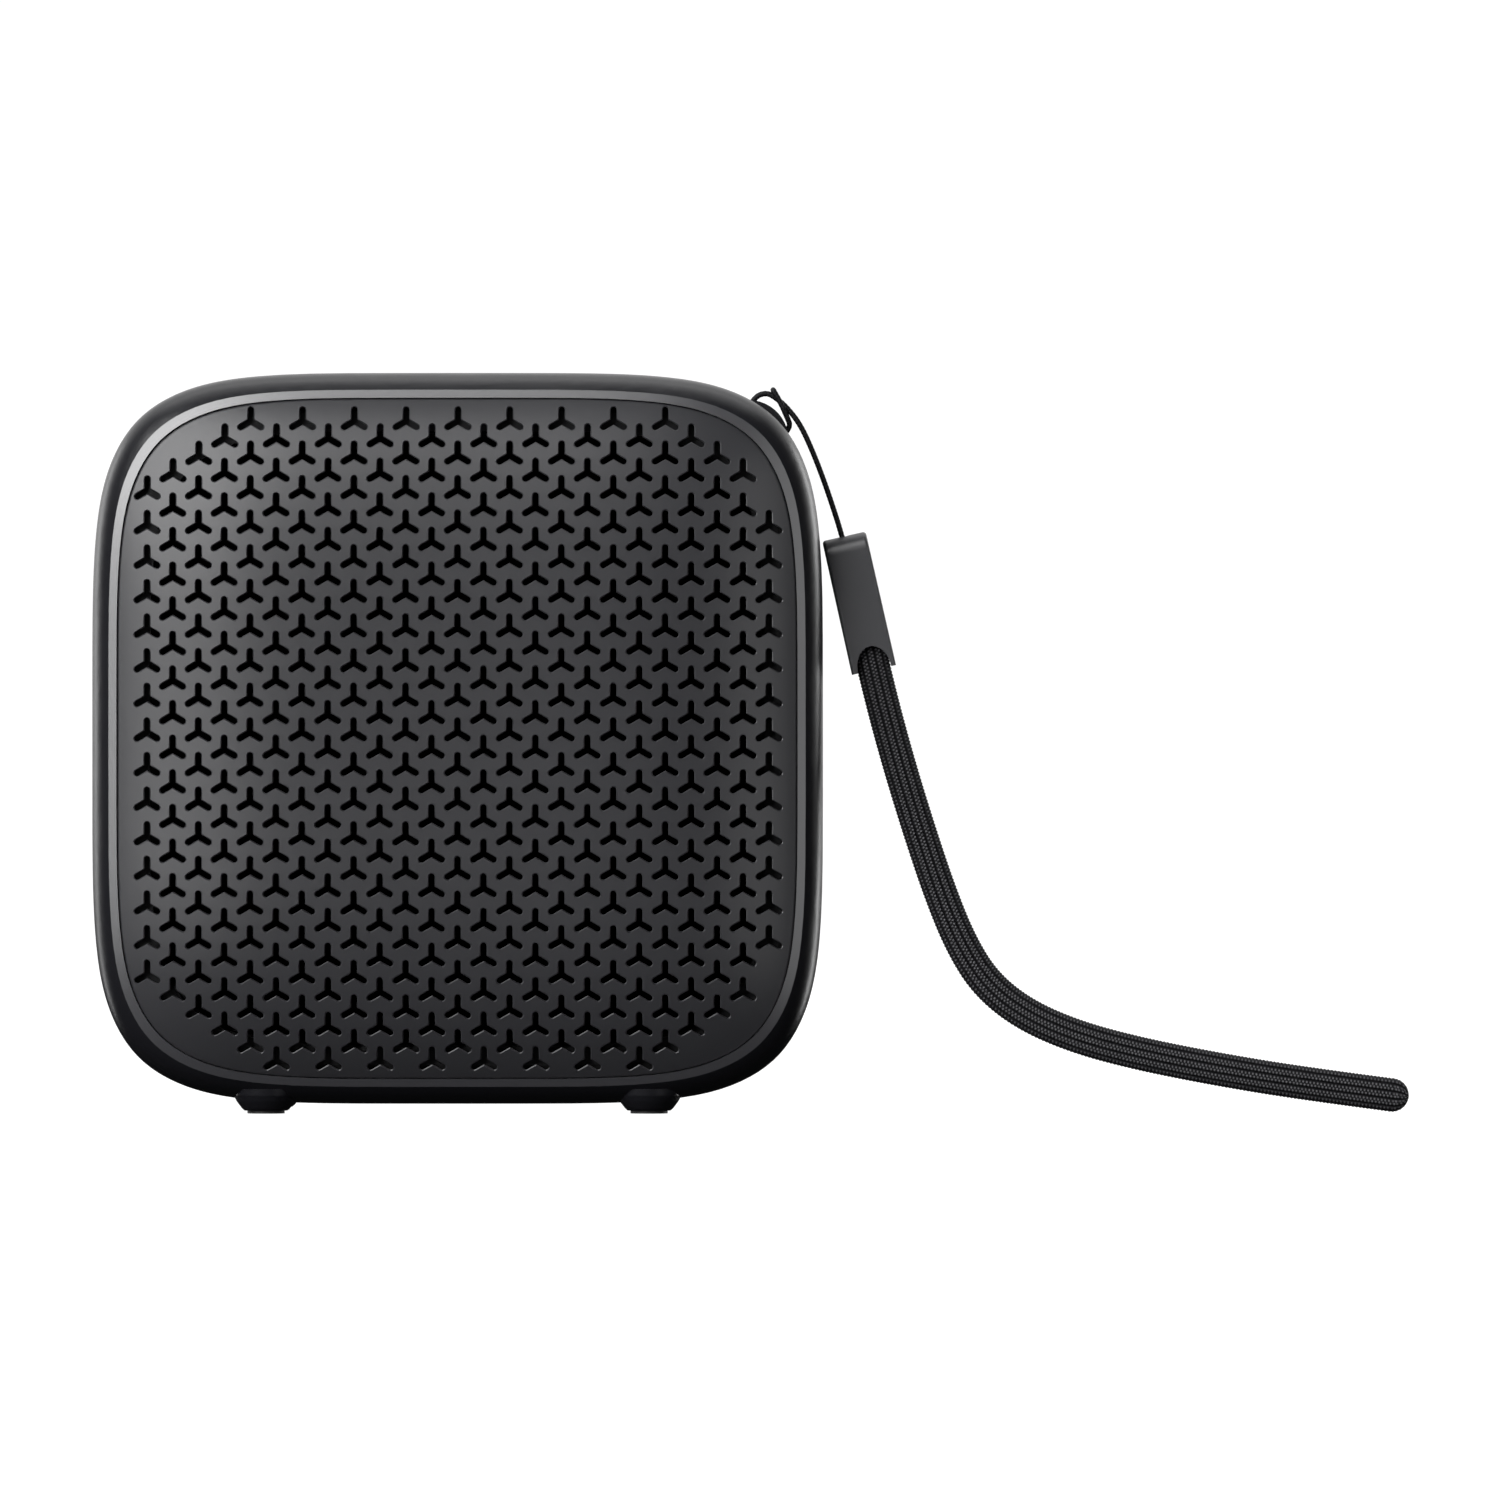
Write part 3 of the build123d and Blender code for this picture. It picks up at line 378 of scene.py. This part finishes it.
def tube(name, line, outline_at):
    """Closed tube along a line; outline_at gives the section's (aside, deep) points at each place."""
    points = []
    rings = []
    gone = 0.0
    aside = None
    for i, place in enumerate(line):
        before = line[max(i - 1, 0)]
        after = line[min(i + 1, len(line) - 1)]
        heading = (after - before).normalized()
        if aside is None:
            aside = heading.cross(Vector((0, 1, 0))).normalized()
        aside = (aside - heading * aside.dot(heading)).normalized()
        deep = heading.cross(aside)
        if i:
            gone += (place - line[i - 1]).length
        start = len(points)
        for u, v in outline_at(gone):
            points.append(place + aside * u + deep * v)
        rings.append(list(range(start, len(points))))
    faces = bridge(rings)
    faces.append(tuple(reversed(rings[0])))
    faces.append(tuple(rings[-1]))
    return new_object(name, points, faces)


# ---------------------------------------------------------------- strap cord: two strands and their bight
string_route = [(x, STRAP_Y + aside, z) for (x, z), aside in zip(STRING_ROUTE, STRING_ASIDE)]
string_path = path_points("string_path", string_route)
string_line, string_length = spaced(string_path, 0.14)
STRAND_CLOSE = 0.38
STRAND_SPREAD = 0.47
SPREAD_FROM = 0.86
SPREAD_OVER = 0.09
BRAID_YARNS = 4
BRAID_PITCH = 1.1
BRAID_HEIGHT = 0.07
STRAND_SIDES = 20
BIGHT_STEPS = 12


def strand_offset(share):
    """Sideways place of a strand along the cord: close together, then apart around the bight."""
    opening = min(max((share - SPREAD_FROM) / SPREAD_OVER, 0.0), 1.0)
    opening = opening * opening * (3 - 2 * opening)
    return STRAND_CLOSE + STRAND_SPREAD * opening


strand_line = []
last = len(string_line) - 1
for i, place in enumerate(string_line):
    strand_line.append(Vector((place.x, STRAP_Y - strand_offset(i / last), place.z)))
tip = string_line[-1]
tip_heading = (string_line[-1] - string_line[-3]).normalized()
tip_reach = strand_offset(1.0)
for step in range(1, BIGHT_STEPS):
    angle = pi * step / BIGHT_STEPS
    bulge = tip_heading * (tip_reach * 0.3 * sin(angle))
    strand_line.append(Vector((tip.x + bulge.x, STRAP_Y - tip_reach * cos(angle), tip.z + bulge.z)))
for i in range(last, -1, -1):
    place = string_line[i]
    strand_line.append(Vector((place.x, STRAP_Y + strand_offset(i / last), place.z)))


def strand_section(gone):
    """Round section with the raised yarns of a fine braid."""
    section = []
    turn = 2 * pi * gone / BRAID_PITCH
    for step in range(STRAND_SIDES):
        angle = 2 * pi * step / STRAND_SIDES
        weave = cos(BRAID_YARNS * angle + turn) * cos(BRAID_YARNS * angle - turn)
        radius = STRAND_RADIUS * (1 + BRAID_HEIGHT * weave)
        section.append((radius * cos(angle), radius * sin(angle)))
    return section


strap_string = tube("strap_string_strands", strand_line, strand_section)
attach(strap_string, "speaker")
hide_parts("strap_string")

# ---------------------------------------------------------------- strap webbing
band_route = [(x, STRAP_Y, z) for x, z in BAND_ROUTE]
band_path = path_points("band_path", band_route)
band_line, band_length = spaced(band_path, 0.1)
END_RADIUS = BAND_WIDTH / 2
END_STEPS = 17
BAND_SAMPLES = 160
BAND_POWER = 3.2
STITCH_AT = 0.37
GROOVE_FROM = 0.7
STITCH_HEIGHT = 0.16
GROOVE_DEPTH = 0.35
EDGE_WAVE = 0.05
SEAM_DEPTH = 0.16
SEAM_HALF = 0.28
END_THICKNESS = 0.55


def band_place(step):
    """Point of the webbing's smooth, stadium-like outline."""
    angle = 2 * pi * step / BAND_SAMPLES
    norm = (abs(cos(angle)) ** BAND_POWER + abs(sin(angle)) ** BAND_POWER) ** (-1 / BAND_POWER)
    return BAND_WIDTH / 2 * norm * cos(angle), BAND_THICK / 2 * norm * sin(angle)


BAND_OUTLINE = [band_place(step) for step in range(BAND_SAMPLES)]
stitch_highlight_weights = []


def band_section(gone):
    """Ribbed section of the webbing; ribs are rows of slanted stitches on both faces."""
    to_end = band_length + END_RADIUS - gone
    narrow = 1.0
    if to_end < END_RADIUS:
        narrow = sqrt(max(1 - ((END_RADIUS - to_end) / END_RADIUS) ** 2, 0.0025))
    section = []
    for u, v in BAND_OUTLINE:
        column = u / RIB_PITCH * 2
        side = column - (round(column / 2) * 2)
        across = abs(abs(side) - STITCH_AT) / STITCH_AT
        turn = gone / STITCH_PITCH + (0.5 if side > 0 else 0.0)
        stitch = max(0.0, cos(2 * pi * turn)) * max(0.0, 1 - across * across)
        groove = max(0.0, (abs(side) - GROOVE_FROM) / (1 - GROOVE_FROM))
        facing = min(abs(v) / (BAND_THICK / 2), 1.0) ** 2
        raised = STITCH_HEIGHT * stitch - GROOVE_DEPTH * groove
        edge = EDGE_WAVE * cos(2 * pi * gone / STITCH_PITCH) * (1 - facing)
        seam = -SEAM_DEPTH * max(0.0, 1 - abs(v) / SEAM_HALF)
        # painted highlight weight: the crest of each stitch on the flat faces, which the material draws in a
        # lighter colour
        stitch_highlight_weights.append(stitch * facing)
        grow_v = facing * raised * (1 if v > 0 else -1)
        grow_u = (edge + seam) * (1 if u > 0 else -1)
        thick = END_THICKNESS + (1 - END_THICKNESS) * narrow
        section.append(((u + grow_u) * narrow, v * thick + grow_v * narrow))
    return section


end_heading = (band_line[-1] - band_line[-2]).normalized()
band_run = list(band_line)
for step in range(1, END_STEPS + 1):
    band_run.append(band_line[-1] + end_heading * (END_RADIUS * sin(radians(90 * step / END_STEPS))))

strap_band = tube("strap_webbing", band_run, band_section)
# the painted highlight weights are stored on the mesh as its stitch attribute
stitch_highlight_layer = strap_band.data.attributes.new("stitch", "FLOAT", "POINT")
stitch_highlight_layer.data.foreach_set("value", stitch_highlight_weights)
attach(strap_band, "speaker")
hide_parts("strap_band")


# ---------------------------------------------------------------- soft rings between still and moving pieces
RING_STEP = 2.5
CORNER_ANGLE = 35
RING_SLOTS = {entry["node"]: entry["material_slot"] for entry in frame["record"]["subparts"]}


def arc(first, middle, last, count=10):
    """Points of the circular arc through three (radius, y) points, without its two ends."""
    (ax, ay), (bx, by), (cx, cy) = first, middle, last
    double = 2 * (ax * (by - cy) + bx * (cy - ay) + cx * (ay - by))
    a, b, c = ax * ax + ay * ay, bx * bx + by * by, cx * cx + cy * cy
    centre_x = (a * (by - cy) + b * (cy - ay) + c * (ay - by)) / double
    centre_y = (a * (cx - bx) + b * (ax - cx) + c * (bx - ax)) / double
    size = hypot(ax - centre_x, ay - centre_y)
    begin = atan2(ay - centre_y, ax - centre_x)
    through = (atan2(by - centre_y, bx - centre_x) - begin) % (2 * pi)
    turn = (atan2(cy - centre_y, cx - centre_x) - begin) % (2 * pi)
    if through > turn:
        turn -= 2 * pi
    angles = [begin + turn * step / count for step in range(1, count)]
    return [(centre_x + size * cos(angle), centre_y + size * sin(angle)) for angle in angles]


DRIVER_ROLL = [
    (22.8, -14.2), (21.7, -14.2), (21.7, -14.6),
    (22.4, -14.6), *arc((22.4, -14.6), (23.9, -17.0), (25.4, -15.2)), (25.4, -15.2),
    (27.4, -15.2), (27.4, -14.8),
    (25.0, -14.8), *arc((25.0, -14.8), (23.9, -16.5), (22.8, -14.2)),
]
SPIDER_FOLDS = [
    (8.15, -5.5), (9.5, -5.5), (10.5, -6.1), (11.5, -5.5), (12.5, -6.1), (13.5, -5.5), (17.2, -5.5),
    (17.2, -5.0), (13.5, -5.0), (12.5, -5.6), (11.5, -5.0), (10.5, -5.6), (9.5, -5.0), (8.15, -5.0),
]
RADIATOR_ROLL = [
    (18.6, 19.9), *arc((18.6, 19.9), (21.45, 21.9), (24.3, 19.9)), (24.3, 19.9), (26.3, 19.9), (26.3, 20.4),
    (24.7, 20.4), *arc((24.7, 20.4), (21.45, 22.5), (18.2, 20.4)), (18.2, 20.4), (16.4, 20.4), (16.4, 19.9),
]
soft_sectors = []


def soft_ring(node, profile, sectors):
    """Ring in sectors, each of which stretches from the moving body to the still one along its own radius."""
    span = 2 * pi / sectors
    steps = ceil(degrees(span) / RING_STEP)
    for number in range(sectors):
        points = []
        rings = []
        for step in range(steps + 1):
            angle = span * (number + step / steps)
            rings.append(list(range(len(points), len(points) + len(profile))))
            points += [(radius * cos(angle), y, MID_Z + radius * sin(angle)) for radius, y in profile]
        sector = new_object(f"{node}_{number + 1:02d}", points, bridge(rings))
        sector.data.set_sharp_from_angle(angle=radians(CORNER_ANGLE))
        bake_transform(sector)
        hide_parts(node)
        soft_sectors.append((sector, RING_SLOTS[node]))


soft_ring("driver_surround", DRIVER_ROLL, 24)
soft_ring("driver_spider", SPIDER_FOLDS, 12)
soft_ring("radiator_surround", RADIATOR_ROLL, 12)


# ---------------------------------------------------------------- materials
def principled(name, colour, roughness, metallic=0.0):
    """Material with a Principled shader; returns it with its node tree and shader."""
    material = bpy.data.materials.new(name)
    material.use_nodes = True
    tree = material.node_tree
    shader = tree.nodes["Principled BSDF"]
    shader.inputs["Base Color"].default_value = (*colour, 1)
    shader.inputs["Roughness"].default_value = roughness
    shader.inputs["Metallic"].default_value = metallic
    return material, tree, shader


def grained(name, colour, roughness, grain_mm=0.12, bump=0.25, spread=0.06, metallic=0.0, specular=0.5):
    """Surface with a fine grain, a slight mottle in its colour and uneven gloss."""
    material, tree, shader = principled(name, colour, roughness, metallic)
    shader.inputs["Specular IOR Level"].default_value = specular
    place = tree.nodes.new("ShaderNodeTexCoord")
    grain = tree.nodes.new("ShaderNodeTexNoise")
    grain.inputs["Scale"].default_value = 1.0 / (grain_mm * MM)
    grain.inputs["Detail"].default_value = 2.0
    tree.links.new(place.outputs["Object"], grain.inputs["Vector"])
    relief = tree.nodes.new("ShaderNodeBump")
    relief.inputs["Strength"].default_value = bump
    relief.inputs["Distance"].default_value = grain_mm * MM * 0.3
    tree.links.new(grain.outputs["Fac"], relief.inputs["Height"])
    tree.links.new(relief.outputs["Normal"], shader.inputs["Normal"])
    mottle = tree.nodes.new("ShaderNodeTexNoise")
    mottle.inputs["Scale"].default_value = 90.0
    mottle.inputs["Detail"].default_value = 4.0
    tree.links.new(place.outputs["Object"], mottle.inputs["Vector"])
    gloss = tree.nodes.new("ShaderNodeMapRange")
    gloss.inputs["To Min"].default_value = roughness - spread
    gloss.inputs["To Max"].default_value = roughness + spread
    tree.links.new(mottle.outputs["Fac"], gloss.inputs["Value"])
    tree.links.new(gloss.outputs["Result"], shader.inputs["Roughness"])
    shade = tree.nodes.new("ShaderNodeMix")
    shade.data_type = "RGBA"
    shade.inputs["A"].default_value = (*[c * 0.92 for c in colour], 1)
    shade.inputs["B"].default_value = (*[min(c * 1.08, 1) for c in colour], 1)
    tree.links.new(grain.outputs["Fac"], shade.inputs["Factor"])
    tree.links.new(shade.outputs["Result"], shader.inputs["Base Color"])
    return material


def banded(material):
    """The same material, with a shinier finish on the sloping bands around the front and rear openings."""
    tree = material.node_tree
    shader = tree.nodes["Principled BSDF"]
    place = tree.nodes.new("ShaderNodeTexCoord")
    parts = tree.nodes.new("ShaderNodeSeparateXYZ")
    tree.links.new(place.outputs["Object"], parts.inputs["Vector"])
    depth = tree.nodes.new("ShaderNodeMath")
    depth.operation = "ABSOLUTE"
    tree.links.new(parts.outputs["Y"], depth.inputs[0])
    on_band = tree.nodes.new("ShaderNodeMapRange")
    on_band.inputs["From Min"].default_value = (BAND_Y - 0.02) * MM
    on_band.inputs["From Max"].default_value = (BAND_Y + 0.02) * MM
    tree.links.new(depth.outputs["Value"], on_band.inputs["Value"])
    shine = tree.nodes.new("ShaderNodeMapRange")
    shine.inputs["To Min"].default_value = PLASTIC_IOR
    shine.inputs["To Max"].default_value = BAND_IOR
    tree.links.new(on_band.outputs["Result"], shine.inputs["Value"])
    tree.links.new(shine.outputs["Result"], shader.inputs["IOR"])
    finish = tree.nodes.new("ShaderNodeMix")
    finish.data_type = "RGBA"
    finish.inputs["B"].default_value = (*BAND_COLOUR, 1)
    tree.links.new(on_band.outputs["Result"], finish.inputs["Factor"])
    tree.links.new(shader.inputs["Base Color"].links[0].from_socket, finish.inputs["A"])
    tree.links.new(finish.outputs["Result"], shader.inputs["Base Color"])
    return material


def with_stitch_highlight(material, colour):
    """The same material with a painted highlight: the crests of the raised stitches are drawn in a lighter
    colour.
    """
    tree = material.node_tree
    shader = tree.nodes["Principled BSDF"]
    # weight of the painted highlight on the stitch crests
    height = tree.nodes.new("ShaderNodeAttribute")
    height.attribute_name = "stitch"
    stitch_highlight = tree.nodes.new("ShaderNodeMix")
    stitch_highlight.data_type = "RGBA"
    stitch_highlight.inputs["B"].default_value = (*colour, 1)
    tree.links.new(height.outputs["Fac"], stitch_highlight.inputs["Factor"])
    tree.links.new(shader.inputs["Base Color"].links[0].from_socket, stitch_highlight.inputs["A"])
    tree.links.new(stitch_highlight.outputs["Result"], shader.inputs["Base Color"])
    return material


LOOKS = {
    "shell_plastic": banded(grained("shell_plastic", (0.008, 0.008, 0.010), 0.30, spread=0.03)),
    "grille_plastic": grained("grille_plastic", (0.026, 0.026, 0.029), 0.35, spread=0.03),
    "mesh_fabric": grained("mesh_fabric", (0.0006, 0.0006, 0.0006), 0.98, grain_mm=0.3, specular=0.0),
    "black_foam": grained("black_foam", (0.008, 0.008, 0.008), 0.9, grain_mm=0.4),
    "inner_plastic": grained("inner_plastic", (0.012, 0.012, 0.013), 0.55),
    "zinc_steel": grained("zinc_steel", (0.45, 0.46, 0.47), 0.35, metallic=1.0),
    "ferrite": grained("ferrite", (0.03, 0.03, 0.03), 0.6),
    "copper_wire": grained("copper_wire", (0.5, 0.19, 0.08), 0.3, metallic=1.0),
    "spider_fabric": grained("spider_fabric", (0.5, 0.3, 0.08), 0.8, grain_mm=0.4),
    "cone_paper": grained("cone_paper", (0.012, 0.012, 0.012), 0.7, grain_mm=0.4),
    "soft_rubber": grained("soft_rubber", (0.011, 0.011, 0.012), 0.6),
    "black_screw": grained("black_screw", (0.02, 0.02, 0.02), 0.4, metallic=0.8),
    "radiator_metal": grained("radiator_metal", (0.16, 0.165, 0.17), 0.35, metallic=1.0),
    "board_green": grained("board_green", (0.01, 0.06, 0.025), 0.3),
    "chip_black": grained("chip_black", (0.01, 0.01, 0.01), 0.45),
    "socket_steel": grained("socket_steel", (0.5, 0.5, 0.52), 0.25, metallic=1.0),
    "cell_wrap": grained("cell_wrap", (0.02, 0.1, 0.25), 0.25),
    "led_white": grained("led_white", (0.8, 0.8, 0.7), 0.3),
    "light_clear": grained("light_clear", (0.6, 0.62, 0.64), 0.2),
    "button_rubber": grained("button_rubber", (0.016, 0.016, 0.018), 0.5),
    "clip_plastic": grained("clip_plastic", (0.050, 0.050, 0.054), 0.36),
    "strap_cord": grained("strap_cord", (0.004, 0.004, 0.005), 0.6, grain_mm=0.1, bump=0.4, specular=0.2),
    # webbing with a painted highlight: its stitch crests in a lighter colour
    "strap_braid": with_stitch_highlight(
        grained("strap_braid", (0.004, 0.004, 0.005), 0.6, grain_mm=0.15, bump=0.4, specular=0.15),
        (0.16, 0.16, 0.17),
    ),
}
for entry in frame["record"]["subparts"]:
    node = frame["nodes"][entry["node"]]
    if node.data:
        node.data.materials.clear()
        node.data.materials.append(LOOKS[entry["material_slot"]])
grille.data.materials.clear()
grille.data.materials.append(LOOKS["grille_plastic"])
strap_string.data.materials.append(LOOKS["strap_cord"])
strap_band.data.materials.append(LOOKS["strap_braid"])
for sector, look in soft_sectors:
    sector.data.materials.append(LOOKS[look])


# ---------------------------------------------------------------- floor and backdrop
SHEET_HALF = 9000
FLOOR_Z = -0.02
FLOOR_BACK = 2400
SWEEP_RADIUS = 1100
SWEEP_STEPS = 12
BACKDROP_TOP = 8500
CURTAIN_RADIUS = 8800
CURTAIN_SIDES = 48
CURTAIN_FOOT = -1
CURTAIN_TOP = 6000


def lit_paper(name):
    """White paper lit evenly from behind, so it shows no shadow."""
    material, _, shader = principled(name, (0.1, 0.1, 0.1), 0.9)
    shader.inputs["Emission Color"].default_value = (1.0, 1.0, 1.0, 1)
    shader.inputs["Emission Strength"].default_value = 1.0
    return material


floor_look = lit_paper("floor_paper")
backdrop_look = lit_paper("backdrop_paper")


def paper(name, profile, look):
    """Wide sheet of paper that follows a profile of (y, z) points."""
    points = [(side, y, z) for side in (-SHEET_HALF, SHEET_HALF) for y, z in profile]
    count = len(profile)
    sheet = new_object(name, points, [(i, i + count, i + count + 1, i + 1) for i in range(count - 1)])
    sheet.data.materials.append(look)
    return sheet


floor = paper("studio_floor", ((-SHEET_HALF, FLOOR_Z), (FLOOR_BACK, FLOOR_Z)), floor_look)
sweep = []
for step in range(SWEEP_STEPS + 1):
    turn = radians(90 * step / SWEEP_STEPS)
    sweep.append((FLOOR_BACK + SWEEP_RADIUS * sin(turn), FLOOR_Z + SWEEP_RADIUS * (1 - cos(turn))))
paper("studio_backdrop", sweep + [(FLOOR_BACK + SWEEP_RADIUS, BACKDROP_TOP)], backdrop_look)

# a curtain all around, which other views see and which casts no light on the object
curtain_points = []
for height in (CURTAIN_FOOT, CURTAIN_TOP):
    for step in range(CURTAIN_SIDES):
        turn = 2 * pi * step / CURTAIN_SIDES
        curtain_points.append((CURTAIN_RADIUS * cos(turn), CURTAIN_RADIUS * sin(turn), height))
curtain_rings = [list(range(CURTAIN_SIDES)), list(range(CURTAIN_SIDES, 2 * CURTAIN_SIDES))]
curtain = new_object("studio_curtain", curtain_points, bridge(curtain_rings))
curtain.data.materials.append(backdrop_look)
for sheet in (floor, curtain):
    sheet.visible_glossy = False
    sheet.visible_diffuse = False
